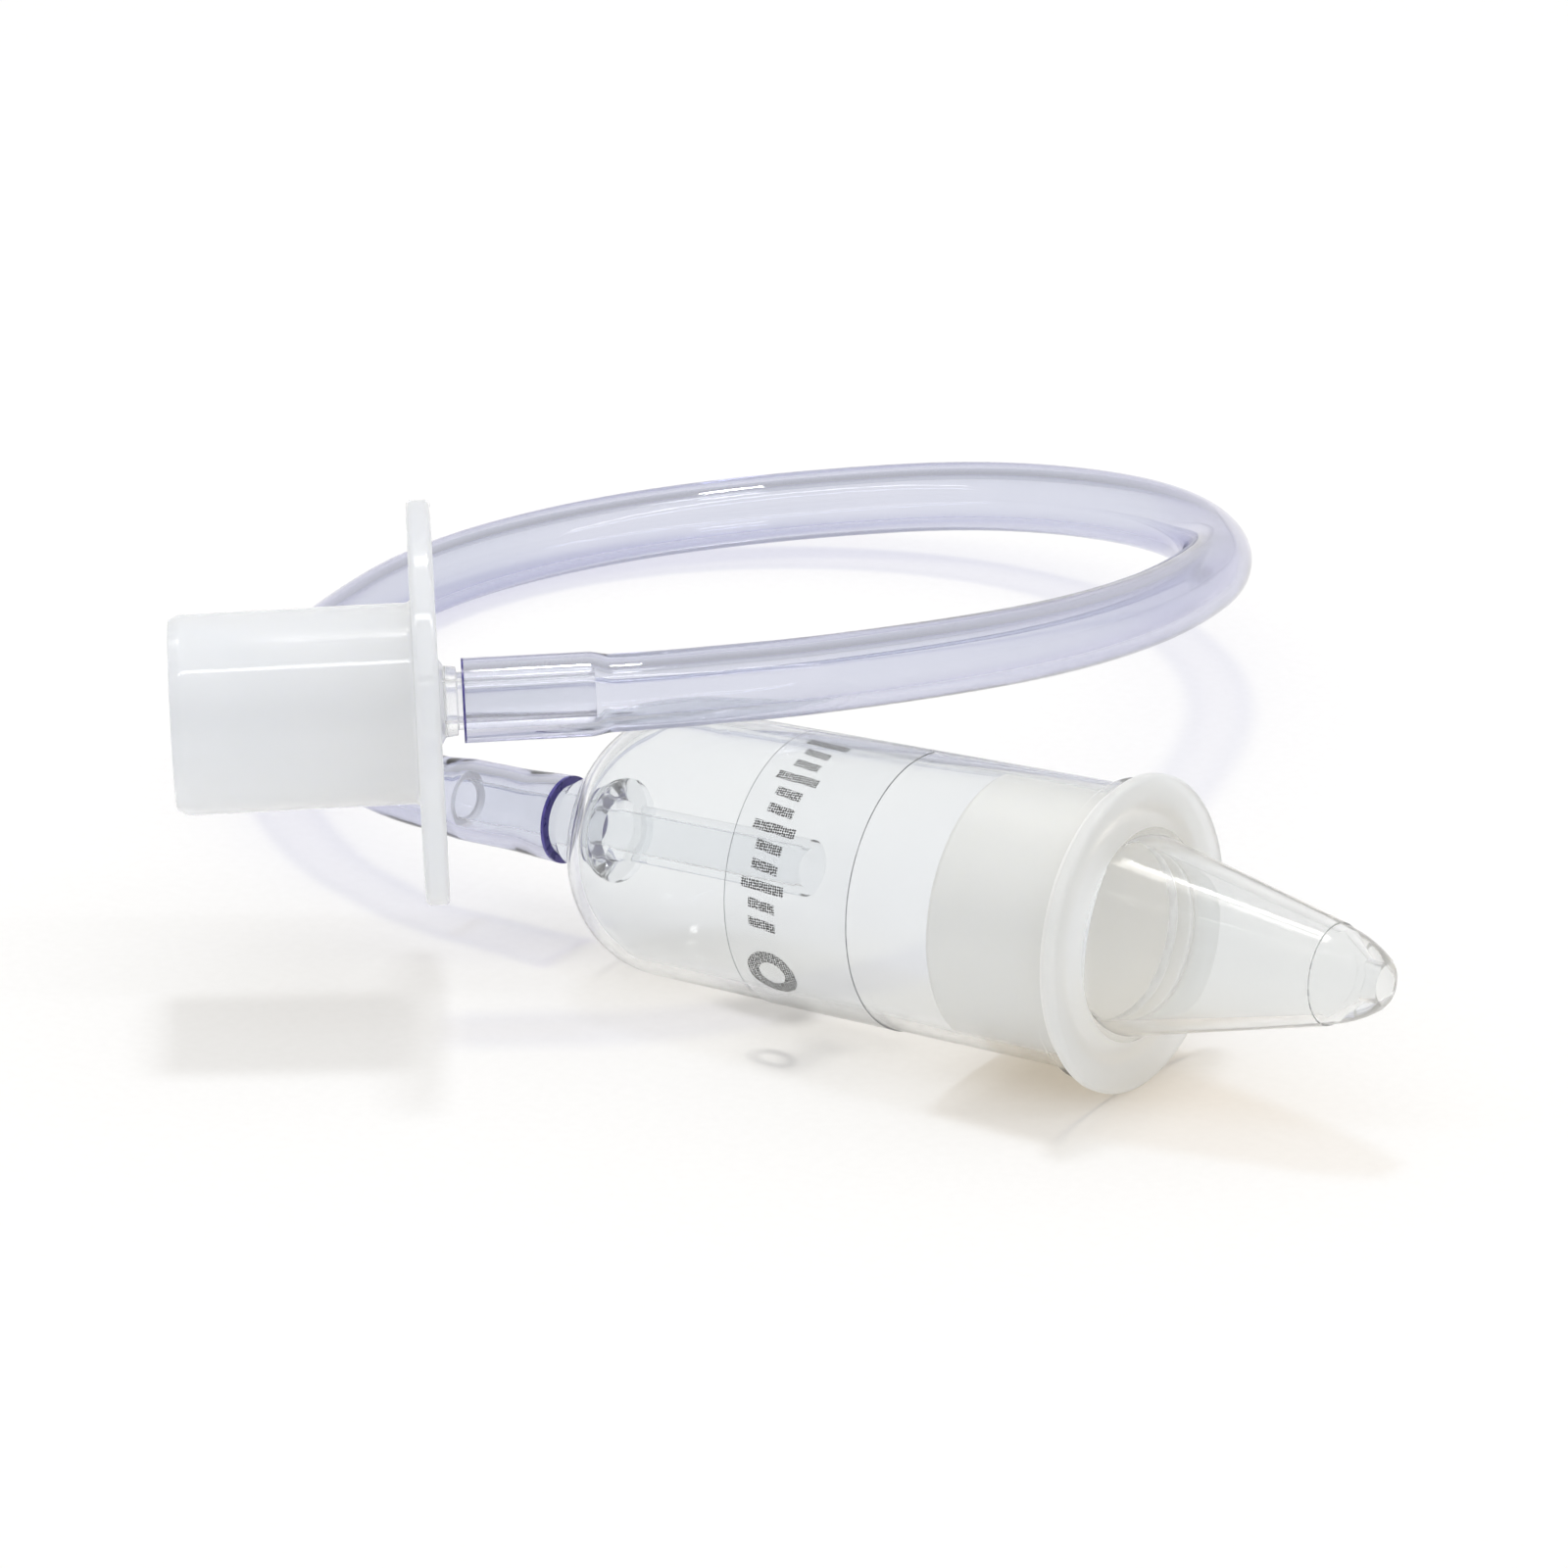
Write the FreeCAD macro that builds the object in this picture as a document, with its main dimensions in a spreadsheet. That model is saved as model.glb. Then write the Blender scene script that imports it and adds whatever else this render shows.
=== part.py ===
import FreeCAD, Part
import math
import os
import Sketcher
from FreeCAD import Rotation, Vector

# Nasal aspirator lying on a floor at z = 0. The collection chamber and its nozzle
# lie along +X; the mouthpiece hangs at the other end of one loop of clear tube.
# Millimetres throughout.

doc = FreeCAD.newDocument("nasal_aspirator")
sizes = doc.addObject("Spreadsheet::Sheet", "sizes")

# ---------------------------------------------------------------- driving sizes
SIZES = [
    # where things lie
    ("nozzle_seat_x", "34.0"),        # middle of the joint between nozzle and chamber
    ("nozzle_seat_y", "13.9"),
    ("chamber_tilt", "2.36"),         # degrees: the nozzle flange holds that end up
    ("mouthpiece_x", "-37.3"),        # centre of the mouthpiece's flange
    ("mouthpiece_y", "-6.4"),
    ("mouthpiece_z", "32.0"),
    ("mouthpiece_yaw", "37.2"),       # degrees from +X
    ("mouthpiece_tilt", "2.0"),       # degrees, spigot up
    # tube stock
    ("tube_radius", "4.0"),
    ("tube_bore", "2.5"),
    ("tube_stretched", "4.325"),      # outside radius where it is pushed over a spigot
    ("tube_grip", "13.45"),           # length pushed over the mouthpiece spigot
    ("tube_flare", "4.62"),           # outside radius of its end against the chamber neck
    ("tube_taper", "0.8"),            # length from stretched back to plain
    ("grip_gap", "0.05"),             # radial gap between tube and spigot
    ("pipe_slack", "0.4"),            # stretched tube beyond the suction pipe's tip
    # spigots, the same on both parts
    ("spigot_radius", "2.95"),
    ("spigot_bore", "2.0"),
    ("spigot_tip_radius", "2.62"),
    ("spigot_tip_length", "0.6"),
    # chamber, measured from the end of its neck
    ("neck_radius", "4.65"),
    ("neck_hole", "3.42"),
    ("neck_fillet", "1.5"),
    ("dome_end", "14.75"),            # where the rounded rear runs into the barrel
    ("dome_radius", "10.0"),
    ("dome_centre_radius", "3.96"),
    ("barrel_wall", "1.2"),
    ("barrel_front_radius", "14.58"),
    ("bead_start", "66.3"),
    ("bead_radius", "15.4"),
    ("bead_round", "0.6"),
    ("chamber_length", "68.3"),
    ("mouth_bore", "13.4"),
    ("mouth_step", "13.2"),
    ("mouth_bore_start", "52.5"),
    ("seat_radius", "5.6"),
    ("seat_gap", "0.05"),             # between the chamber's mouth and the nozzle flange
    # suction pipe, measured from its outer tip
    ("pipe_length", "43.35"),
    ("pipe_tip_to_neck", "13.0"),
    ("pipe_plain_end", "6.0"),
    ("pipe_root_start", "11.5"),
    ("pipe_root_radius", "3.38"),
    ("pipe_collar_radius", "5.5"),
    ("pipe_collar_thickness", "1.2"),
    # label film
    ("label_start", "29.25"),         # from the end of the chamber's neck
    ("label_width", "14.9"),
    ("label_thickness", "0.1"),
    ("label_gap", "0.01"),
    ("label_wrap", "176"),            # degrees round the barrel
    # nozzle, measured from the rear of its plug
    ("plug_length", "15.3"),
    ("plug_radius", "13.35"),
    ("plug_bore", "12.3"),
    ("plug_lead", "0.5"),
    ("plug_lead_radius", "13.1"),
    ("flange_radius", "16.2"),
    ("flange_front", "16.8"),
    ("flange_round", "0.5"),
    ("web_rear", "14.4"),
    ("nose_base_radius", "10.3"),
    ("nose_base_bore", "8.9"),
    ("nose_base_bore_end", "16.0"),
    ("nose_web_bore", "9.3"),
    ("nose_fillet", "0.7"),
    ("tip_start", "39.3"),
    ("nose_end_radius", "5.2"),
    ("tip_base_radius", "5.05"),
    ("tip_arc", "14.0"),
    ("tip_shoulder", "44.6"),
    ("tip_shoulder_radius", "2.75"),
    ("tip_end_radius", "2.2"),
    ("nozzle_length", "45.1"),
    ("nose_end_bore_end", "39.5"),
    ("nose_end_bore", "4.05"),
    ("tip_bore_start", "42.8"),
    ("tip_bore", "1.9"),
    # mouthpiece, measured from its open end
    ("mouth_tube_radius", "10.25"),
    ("mouth_tube_bore", "9.05"),
    ("mouth_tube_length", "24.65"),
    ("mouth_web_rear", "25.4"),
    ("guard_radius", "20.65"),
    ("guard_front", "27.15"),
    ("guard_round", "0.9"),
    ("mouth_round", "0.5"),
    ("mouth_fillet", "0.5"),
    ("boss_radius", "4.7"),
    ("boss_end", "28.9"),
    ("mouth_spigot_end", "42.9"),
    ("tube_end_on_mouthpiece", "29.45"),
    # derived
    ("dome_inner_radius", "=dome_radius - barrel_wall"),
    ("barrel_rear_radius", "=dome_centre_radius + dome_radius"),
    ("barrel_rear_bore", "=barrel_rear_radius - barrel_wall"),
    ("fillet_centre_radius", "=neck_radius + neck_fillet"),
    ("fillet_centre", "=dome_end - sqrt((dome_radius + neck_fillet)^2"
                      " - (fillet_centre_radius - dome_centre_radius)^2)"),
    ("fillet_end", "=dome_end + (fillet_centre - dome_end)"
                   " * dome_radius / (dome_radius + neck_fillet)"),
    ("fillet_end_radius", "=dome_centre_radius + (fillet_centre_radius"
                          " - dome_centre_radius) * dome_radius / (dome_radius + neck_fillet)"),
    ("seat_face", "=dome_end - sqrt(dome_inner_radius^2"
                  " - (seat_radius - dome_centre_radius)^2)"),
    ("barrel_slope", "=(barrel_front_radius - barrel_rear_radius) / (bead_start - dome_end)"),
    ("label_rear_bore", "=barrel_rear_radius + barrel_slope * (label_start - dome_end)"
                        " + label_gap"),
    ("label_front_bore", "=label_rear_bore + barrel_slope * label_width"),
    ("label_rear_radius", "=label_rear_bore + label_thickness"),
    ("label_front_radius", "=label_front_bore + label_thickness"),
    ("pipe_chamfer_end", "=spigot_tip_length"),
    ("pipe_collar_rear", "=pipe_tip_to_neck + seat_face + 0.02"),
    ("pipe_collar_front", "=pipe_collar_rear + pipe_collar_thickness"),
    ("mouth_spigot_chamfer", "=mouth_spigot_end - spigot_tip_length"),
]

for row, (alias, content) in enumerate(SIZES, start=1):
    sizes.set("A%d" % row, alias)
    sizes.set("B%d" % row, content)
    sizes.setAlias("B%d" % row, alias)
doc.recompute()


def size(alias):
    """The number the sheet holds under this alias."""
    return float(sizes.get(alias))


# ---------------------------------------------------------------- turned parts
def origin_plane(body, role):
    for feature in body.Origin.OriginFeatures:
        if feature.Role == role:
            return feature
    raise RuntimeError("no plane " + role)


def pin_corner(sketch, line, end, x_alias, radius_alias):
    """Hold one end of a sketch line at the sheet's distance along and off the X axis."""
    if x_alias is None:
        sketch.addConstraint(Sketcher.Constraint("PointOnObject", line, end, -2))
    else:
        along = sketch.addConstraint(
            Sketcher.Constraint("DistanceX", -1, 1, line, end, size(x_alias)))
        sketch.setExpression("Constraints[%d]" % along, "sizes." + x_alias)
    off = sketch.addConstraint(
        Sketcher.Constraint("DistanceY", -1, 1, line, end, size(radius_alias)))
    sketch.setExpression("Constraints[%d]" % off, "sizes." + radius_alias)


def arc_between(start, end, centre, radius):
    """Counter-clockwise sketch arc, and whether it runs from start to end."""
    start_angle = math.atan2(start.y - centre.y, start.x - centre.x)
    end_angle = math.atan2(end.y - centre.y, end.x - centre.x)
    forward = (end_angle - start_angle) % (2 * math.pi) < math.pi
    if not forward:
        start_angle, end_angle = end_angle, start_angle
    circle = Part.Circle(centre, Vector(0, 0, 1), radius)
    return Part.ArcOfCircle(circle, start_angle, end_angle), forward


def arc_centre(start, end, radius, bulge):
    """Centre of the arc that bows to the left (+1) or right (-1) of start to end."""
    chord = end - start
    half = chord.Length / 2
    left = Vector(-chord.y, chord.x, 0).normalize()
    return (start + end) * 0.5 - left * bulge * math.sqrt(radius ** 2 - half ** 2)


def turned(node, outline, arcs=(), angle_alias=None):
    """Body turned about its own X axis from a closed outline of (x, radius) aliases.

    arcs maps the index of a corner to (radius alias, bulge) for the side that
    leaves that corner; every other side is straight.
    """
    arcs = dict(arcs)
    body = doc.addObject("PartDesign::Body", node)
    body.Label = node
    sketch = body.newObject("Sketcher::SketchObject", node + "_outline")
    sketch.AttachmentSupport = (origin_plane(body, "XY_Plane"), [""])
    sketch.MapMode = "FlatFace"
    corners = [Vector(size(x) if x else 0.0, size(radius), 0) for x, radius in outline]
    count = len(corners)
    ends = []
    for index in range(count):
        start, end = corners[index], corners[(index + 1) % count]
        if index in arcs:
            radius_alias, bulge = arcs[index]
            centre = arc_centre(start, end, size(radius_alias), bulge)
            arc, forward = arc_between(start, end, centre, size(radius_alias))
            side = sketch.addGeometry(arc, False)
            ends.append((side, 1, 2) if forward else (side, 2, 1))
        else:
            side = sketch.addGeometry(Part.LineSegment(start, end), False)
            ends.append((side, 1, 2))
    for index in range(count):
        this, following = ends[index], ends[(index + 1) % count]
        sketch.addConstraint(
            Sketcher.Constraint("Coincident", this[0], this[2], following[0], following[1]))
    for index, (x_alias, radius_alias) in enumerate(outline):
        pin_corner(sketch, ends[index][0], ends[index][1], x_alias, radius_alias)
    for index, (radius_alias, bulge) in arcs.items():
        held = sketch.addConstraint(
            Sketcher.Constraint("Radius", ends[index][0], size(radius_alias)))
        sketch.setExpression("Constraints[%d]" % held, "sizes." + radius_alias)
    turn = body.newObject("PartDesign::Revolution", node + "_turned")
    turn.Profile = sketch
    turn.ReferenceAxis = (sketch, ["H_Axis"])
    turn.Angle = 360
    if angle_alias:
        turn.setExpression("Angle", "sizes." + angle_alias)
    body.Tip = turn
    doc.recompute()
    return body


def round_rims(body, name, rims, radius_alias):
    """Fillet the circular edges found at the given (x, radius) aliases."""
    wanted = [(size(x) if x else 0.0, size(radius)) for x, radius in rims]
    base = body.Tip
    names = []
    for number, edge in enumerate(base.Shape.Edges, start=1):
        if not isinstance(edge.Curve, Part.Circle):
            continue
        for x, radius in wanted:
            if abs(edge.Curve.Center.x - x) < 1e-3 and abs(edge.Curve.Radius - radius) < 1e-3:
                names.append("Edge%d" % number)
    fillet = body.newObject("PartDesign::Fillet", name)
    fillet.Base = (base, names)
    fillet.setExpression("Radius", "sizes." + radius_alias)
    body.Tip = fillet
    doc.recompute()


# Collection chamber: neck, rounded rear, slightly tapered barrel, beaded mouth.
chamber = turned(
    "chamber",
    [(None, "neck_hole"),
     (None, "neck_radius"),
     ("fillet_centre", "neck_radius"),
     ("fillet_end", "fillet_end_radius"),
     ("dome_end", "barrel_rear_radius"),
     ("bead_start", "barrel_front_radius"),
     ("bead_start", "bead_radius"),
     ("chamber_length", "bead_radius"),
     ("chamber_length", "mouth_bore"),
     ("mouth_bore_start", "mouth_bore"),
     ("mouth_bore_start", "mouth_step"),
     ("dome_end", "barrel_rear_bore"),
     ("seat_face", "seat_radius"),
     ("seat_face", "neck_hole")],
    {2: ("neck_fillet", -1), 3: ("dome_radius", 1), 11: ("dome_inner_radius", -1)})
round_rims(chamber, "chamber_bead_round",
           [("bead_start", "bead_radius"), ("chamber_length", "bead_radius")], "bead_round")

# Suction pipe: pushed out through the neck from inside until its collar seats; the
# outer end is the spigot the tube goes on, the inner end opens half way down the barrel.
suction_pipe = turned(
    "suction_pipe",
    [(None, "spigot_bore"),
     (None, "spigot_tip_radius"),
     ("pipe_chamfer_end", "spigot_radius"),
     ("pipe_plain_end", "spigot_radius"),
     ("pipe_root_start", "pipe_root_radius"),
     ("pipe_collar_rear", "pipe_root_radius"),
     ("pipe_collar_rear", "pipe_collar_radius"),
     ("pipe_collar_front", "pipe_collar_radius"),
     ("pipe_collar_front", "spigot_radius"),
     ("pipe_length", "spigot_radius"),
     ("pipe_length", "spigot_bore")])

# Label: a clear film laid round one half of the barrel.
label_film = turned(
    "label_film",
    [(None, "label_rear_bore"),
     (None, "label_rear_radius"),
     ("label_width", "label_front_radius"),
     ("label_width", "label_front_bore")],
    angle_alias="label_wrap")

# Nozzle: hollow plug, flange and conical nose in one moulding.
nozzle = turned(
    "nozzle",
    [(None, "plug_bore"),
     (None, "plug_lead_radius"),
     ("plug_lead", "plug_radius"),
     ("plug_length", "plug_radius"),
     ("plug_length", "flange_radius"),
     ("flange_front", "flange_radius"),
     ("flange_front", "nose_base_radius"),
     ("tip_start", "nose_end_radius"),
     ("tip_start", "tip_base_radius"),
     ("tip_shoulder", "tip_shoulder_radius"),
     ("nozzle_length", "tip_end_radius"),
     ("nozzle_length", "tip_bore"),
     ("tip_bore_start", "tip_bore"),
     ("nose_end_bore_end", "nose_end_bore"),
     ("nose_base_bore_end", "nose_base_bore"),
     ("web_rear", "nose_web_bore"),
     ("web_rear", "plug_bore")],
    {8: ("tip_arc", 1)})
round_rims(nozzle, "nozzle_flange_round",
           [("plug_length", "flange_radius"), ("flange_front", "flange_radius")], "flange_round")
round_rims(nozzle, "nozzle_nose_fillet", [("flange_front", "nose_base_radius")], "nose_fillet")

# Mouthpiece: open mouth tube, round guard and the spigot for the tube.
mouthpiece = turned(
    "mouthpiece",
    [(None, "mouth_tube_bore"),
     (None, "mouth_tube_radius"),
     ("mouth_tube_length", "mouth_tube_radius"),
     ("mouth_tube_length", "guard_radius"),
     ("guard_front", "guard_radius"),
     ("guard_front", "boss_radius"),
     ("boss_end", "spigot_radius"),
     ("mouth_spigot_chamfer", "spigot_radius"),
     ("mouth_spigot_end", "spigot_tip_radius"),
     ("mouth_spigot_end", "spigot_bore"),
     ("mouth_web_rear", "spigot_bore"),
     ("mouth_web_rear", "mouth_tube_bore")])
round_rims(mouthpiece, "mouthpiece_guard_round",
           [("mouth_tube_length", "guard_radius"), ("guard_front", "guard_radius")],
           "guard_round")
round_rims(mouthpiece, "mouthpiece_lip_round", [(None, "mouth_tube_radius")], "mouth_round")
round_rims(mouthpiece, "mouthpiece_fillet",
           [("mouth_tube_length", "mouth_tube_radius")], "mouth_fillet")

# ---------------------------------------------------------------- where they lie
tilt = math.radians(size("chamber_tilt"))
chamber_axis = Vector(math.cos(tilt), 0, math.sin(tilt))
# The rounded rear rim of the nozzle's flange stands on the floor, and sets the seat's height.
rim_round = size("flange_round")
seat_height = ((size("flange_radius") - rim_round) * math.cos(tilt)
               + rim_round - rim_round * math.sin(tilt))
nozzle_seat = Vector(size("nozzle_seat_x"), size("nozzle_seat_y"), seat_height)

yaw = math.radians(size("mouthpiece_yaw"))
lift = math.radians(size("mouthpiece_tilt"))
mouthpiece_axis = Vector(math.cos(yaw) * math.cos(lift),
                         math.sin(yaw) * math.cos(lift), math.sin(lift))
guard_centre = Vector(size("mouthpiece_x"), size("mouthpiece_y"), size("mouthpiece_z"))
guard_middle = (size("mouth_tube_length") + size("guard_front")) / 2


def lay(body, axis, on_axis, distance, roll=0.0):
    """Put the body's X axis on the line, its zero at this distance from the point."""
    turn = Rotation(Vector(1, 0, 0), axis) * Rotation(Vector(1, 0, 0), roll)
    body.Placement = FreeCAD.Placement(on_axis + axis * distance, turn)


chamber_zero = -size("seat_gap") - size("chamber_length")
pipe_zero = chamber_zero - size("pipe_tip_to_neck")
LABEL_TOP_ROLL = 80.0
lay(chamber, chamber_axis, nozzle_seat, chamber_zero)
lay(suction_pipe, chamber_axis, nozzle_seat, pipe_zero)
lay(label_film, chamber_axis, nozzle_seat, chamber_zero + size("label_start"), LABEL_TOP_ROLL)
lay(nozzle, chamber_axis, nozzle_seat, -size("plug_length"))
lay(mouthpiece, mouthpiece_axis, guard_centre, -guard_middle)

# ---------------------------------------------------------------- the tube
# Its two ends run straight off their spigots. The points between them are the corners
# of the loop as it lies: down from the mouthpiece, round to the right, along the floor
# at the back and up again to the chamber's neck.
START_RUN = 25.5
END_RUN = 25.5
LOOP = [
    Vector(-3.6, 34.3, 31.0),
    Vector(-1.8, 59.5, 26.6),
    Vector(-6.5, 88.1, 21.0),
    Vector(-16.1, 115.9, 15.8),
    Vector(-35.6, 133.9, 12.2),
    Vector(-60.8, 137.0, 8.9),
    Vector(-83.4, 127.5, 5.7),
    Vector(-99.4, 110.2, 4.4),
    Vector(-106.9, 87.6, 4.1),
    Vector(-103.3, 63.2, 4.3),
    Vector(-93.7, 41.2, 7.0),
    Vector(-82.0, 28.0, 9.8),
]
tube_start = guard_centre + mouthpiece_axis * (size("tube_end_on_mouthpiece") - guard_middle)
tube_end = nozzle_seat + chamber_axis * (chamber_zero - size("grip_gap"))
corners = [tube_start, tube_start + mouthpiece_axis * START_RUN]
corners += LOOP
corners += [tube_end - chamber_axis * END_RUN, tube_end]


def rounded_path(points, skip_start, skip_end):
    """Straight runs joined by tangent arcs, as a wire without its very first and last bits."""
    edges = []
    reached = points[0] + (points[1] - points[0]).normalize() * skip_start
    for before, corner, after in zip(points, points[1:], points[2:]):
        run_in, run_out = corner - before, after - corner
        turn = run_in.getAngle(run_out)
        setback = 0.45 * min(run_in.Length, run_out.Length)
        radius = setback / math.tan(turn / 2)
        way_in, way_out = run_in / run_in.Length, run_out / run_out.Length
        arc_start = corner - way_in * setback
        arc_end = corner + way_out * setback
        inward = (way_out - way_in).normalize()
        middle = corner + inward * (radius / math.cos(turn / 2) - radius)
        edges.append(Part.LineSegment(reached, arc_start).toShape())
        edges.append(Part.Arc(arc_start, middle, arc_end).toShape())
        reached = arc_end
        print("tube bend radius %.1f mm, turn %.0f degrees, run %.1f mm"
              % (radius, math.degrees(turn), run_out.Length))
    last = points[-1] - (points[-1] - points[-2]).normalize() * skip_end
    edges.append(Part.LineSegment(reached, last).toShape())
    return Part.Wire(edges)


def turned_skin(stations, start, axis, side):
    """Faces turned round the axis from (distance, radius) stations, seam towards side."""
    points = [start + axis * distance + side * radius for distance, radius in stations]
    faces = []
    for first, second in zip(points, points[1:]):
        faces += Part.LineSegment(first, second).toShape().revolve(start, axis, 360).Faces
    return faces


def carried_skin(path, radius, side):
    """Faces left by carrying a circle along the path, and the last circle."""
    start = path.Edges[0].valueAt(path.Edges[0].FirstParameter)
    ring = Part.Vertex(start + side * radius).revolve(start, mouthpiece_axis, 360)
    faces = []
    for edge in path.Edges:
        begin, end = edge.valueAt(edge.FirstParameter), edge.valueAt(edge.LastParameter)
        if isinstance(edge.Curve, Part.Circle):
            centre = edge.Curve.Center
            hinge = (begin - centre).cross(edge.tangentAt(edge.FirstParameter)).normalize()
            angle = math.degrees(edge.Length / edge.Curve.Radius)
            faces += ring.revolve(centre, hinge, angle).Faces
            ring = ring.rotated(centre, hinge, angle)
        else:
            faces += ring.extrude(end - begin).Faces
            ring = ring.translated(end - begin)
    return faces, ring


plain, bore = size("tube_radius"), size("tube_bore")
stretched = size("tube_stretched")
grip_bore = size("spigot_radius") + size("grip_gap")
grip = size("tube_grip")
plain_again = grip + size("tube_taper")
# On the chamber side the pipe widens towards its root and flares the tube's end.
pipe_grip = size("pipe_tip_to_neck") + size("pipe_slack")
root_bore = size("pipe_root_radius") + size("grip_gap")
flare_start = size("pipe_tip_to_neck") - size("pipe_root_start")
flare_end = size("pipe_tip_to_neck") - size("pipe_plain_end")
pipe_plain_again = pipe_grip + size("tube_taper")

plain_path = rounded_path(corners, plain_again, pipe_plain_again)
side = mouthpiece_axis.cross(Vector(0, 0, 1)).normalize()
outer_faces, last_ring = carried_skin(plain_path, plain, side)
inner_faces, _ = carried_skin(plain_path, bore, side)
end_side = (last_ring.Vertexes[0].Point - tube_end + chamber_axis * pipe_plain_again).normalize()
mouthpiece_end = turned_skin(
    [(plain_again, bore), (grip, grip_bore), (0, grip_bore),
     (0, stretched), (grip, stretched), (plain_again, plain)],
    tube_start, mouthpiece_axis, side)
chamber_end = turned_skin(
    [(pipe_plain_again, bore), (pipe_grip, grip_bore), (flare_end, grip_bore),
     (flare_start, root_bore), (0, root_bore), (0, size("tube_flare")),
     (flare_end, stretched), (pipe_grip, stretched), (pipe_plain_again, plain)],
    tube_end, chamber_axis * -1, end_side)
skin = Part.makeShell(outer_faces + inner_faces + mouthpiece_end + chamber_end)
skin.sewShape()
hose = doc.addObject("Part::Feature", "hose")
hose.Label = "hose"
hose.Shape = Part.makeSolid(skin)
hose.Placement = FreeCAD.Placement()

# ---------------------------------------------------------------- checks and export
doc.recompute()
pieces = [chamber, suction_pipe, label_film, nozzle, mouthpiece, hose]
for item in doc.Objects:
    if "Invalid" in item.State or "Error" in item.State:
        raise RuntimeError("%s: %s" % (item.Name, item.State))
os.makedirs("parts", exist_ok=True)
for piece in pieces:
    shape = piece.Shape
    if shape.isNull() or not shape.isValid() or len(shape.Solids) != 1:
        raise RuntimeError("bad shape: " + piece.Label)
    shape.exportStep("parts/%s.step" % piece.Label)
    box = shape.BoundBox
    print("%-13s volume %8.1f  x %7.2f %7.2f  y %7.2f %7.2f  z %6.2f %6.2f"
          % (piece.Label, shape.Volume, box.XMin, box.XMax, box.YMin, box.YMax,
             box.ZMin, box.ZMax))

section = math.pi * (plain ** 2 - bore ** 2)
tube_length = plain_path.Length + plain_again + pipe_plain_again
print("tube length %.1f mm, tube volume %.0f, plain section x length %.0f"
      % (tube_length, hose.Shape.Volume, section * tube_length))
rigid = Part.makeCompound([piece.Shape for piece in pieces if piece is not hose])
print("rigid pieces' box centre %.2f %.2f" % (rigid.BoundBox.Center.x, rigid.BoundBox.Center.y))
for corner in corners:
    print("tube corner %.2f %.2f %.2f" % (corner.x, corner.y, corner.z))
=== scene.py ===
import math

import bmesh
import bpy
from mathutils import Matrix, Vector


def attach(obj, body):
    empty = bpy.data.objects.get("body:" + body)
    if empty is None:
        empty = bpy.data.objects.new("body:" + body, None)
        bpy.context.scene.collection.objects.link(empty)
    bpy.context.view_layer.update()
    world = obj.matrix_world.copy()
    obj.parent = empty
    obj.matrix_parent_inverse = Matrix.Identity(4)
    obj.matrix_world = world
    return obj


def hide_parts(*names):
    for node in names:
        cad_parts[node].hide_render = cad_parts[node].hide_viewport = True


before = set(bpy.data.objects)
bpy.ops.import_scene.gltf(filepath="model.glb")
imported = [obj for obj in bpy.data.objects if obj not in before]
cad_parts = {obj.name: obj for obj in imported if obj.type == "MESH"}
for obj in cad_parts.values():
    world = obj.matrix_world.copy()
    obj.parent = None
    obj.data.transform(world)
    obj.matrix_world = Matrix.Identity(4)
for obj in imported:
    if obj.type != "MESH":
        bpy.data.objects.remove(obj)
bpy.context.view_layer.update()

MM = 0.001


def mm(*values):
    """Point given in millimetres, in metres."""
    return Vector(values) * MM


# ------------------------------------------------------------------ where things lie
# The same places as in the CAD model, in millimetres until mm() turns them to metres.
CHAMBER_TILT = math.radians(2.36)
CHAMBER_AXIS = Vector((math.cos(CHAMBER_TILT), 0, math.sin(CHAMBER_TILT)))
FLANGE_R, FLANGE_ROUND = 16.2, 0.5
SEAT = Vector((34.0, 13.9, (FLANGE_R - FLANGE_ROUND) * math.cos(CHAMBER_TILT)
               + FLANGE_ROUND - FLANGE_ROUND * math.sin(CHAMBER_TILT)))
YAW, LIFT = math.radians(37.2), math.radians(2.0)
MOUTH_AXIS = Vector((math.cos(YAW) * math.cos(LIFT), math.sin(YAW) * math.cos(LIFT),
                     math.sin(LIFT)))
GUARD = Vector((-37.3, -6.4, 32.0))
# Where each piece's own x = 0 lies along its axis, from SEAT or from GUARD.
CHAMBER_ZERO, PIPE_ZERO, LABEL_ZERO = -68.35, -81.35, -39.1
PLUG_ZERO, MOUTH_ZERO, TUBE_START = -15.3, -25.9, 3.55

# ------------------------------------------------------------------ camera
VIEW_FROM = mm(462.63, -681.05, 344.91)
VIEW_DIRECTION = Vector((-0.52307, 0.77340, -0.35812))
camera = bpy.data.objects.new("camera", bpy.data.cameras.new("camera"))
camera.data.sensor_width = 36.0
camera.data.lens = 202.5
camera.data.clip_start, camera.data.clip_end = 0.05, 30.0
camera.location = VIEW_FROM
camera.rotation_euler = VIEW_DIRECTION.to_track_quat("-Z", "Y").to_euler()
bpy.context.scene.collection.objects.link(camera)
bpy.context.scene.camera = camera

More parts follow.
